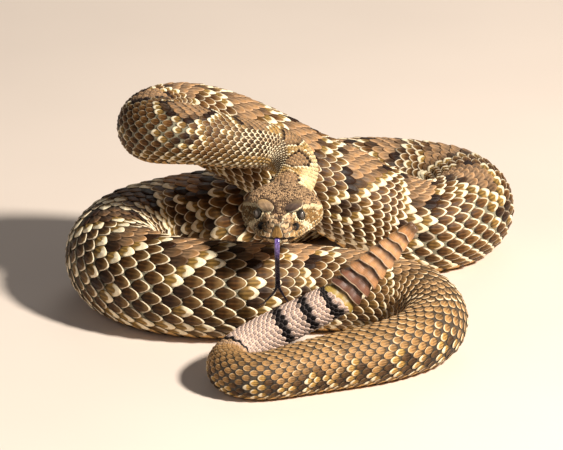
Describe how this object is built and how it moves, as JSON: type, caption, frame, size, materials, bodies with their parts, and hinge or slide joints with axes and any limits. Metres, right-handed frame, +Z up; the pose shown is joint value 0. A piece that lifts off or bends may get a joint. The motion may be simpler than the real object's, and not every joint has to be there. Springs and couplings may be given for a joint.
{
  "type": "western diamondback rattlesnake model",
  "caption": "Life-size western diamondback rattlesnake, coiled with neck raised, tongue out and rattle lifted, resting on its belly coils.",
  "frame": {"origin": "middle of the model's box, on the floor plane that the belly rests on", "axes": "+Z up, -Y the way the head faces, +X to the right of someone facing the snake"},
  "size_m": [0.2306, 0.2806, 0.1085],
  "materials": {
    "skin": "matt, keeled scales",
    "head_skin": "matt, small scales",
    "tail_skin": "matt, ringed",
    "rattle": "satin horn",
    "eye": "wet gloss",
    "tongue": "wet gloss"
  },
  "bodies": {
    "root": {"tail": "tail_skin", "tail_turn": "skin", "front_length_left": "skin", "front_length_right": "skin", "right_turn_front": "skin", "right_turn_back": "skin", "centre_length_right": "skin", "centre_length_left": "skin", "left_turn_front": "skin", "left_turn_middle": "skin", "left_turn_back": "skin", "rear_length_left": "skin", "rear_length_right": "skin", "far_turn_back": "skin", "far_turn_front": "skin", "rising_length": "skin", "raised_far_arm": "skin", "raised_turn_back": "skin", "raised_turn_front": "skin", "raised_near_arm": "skin", "neck_turn": "skin", "neck": "skin", "head": "head_skin", "lower_jaw": "head_skin", "eye_left": "eye", "eye_right": "eye", "tongue": "tongue", "rattle": "rattle"}
  },
  "joints": []
}
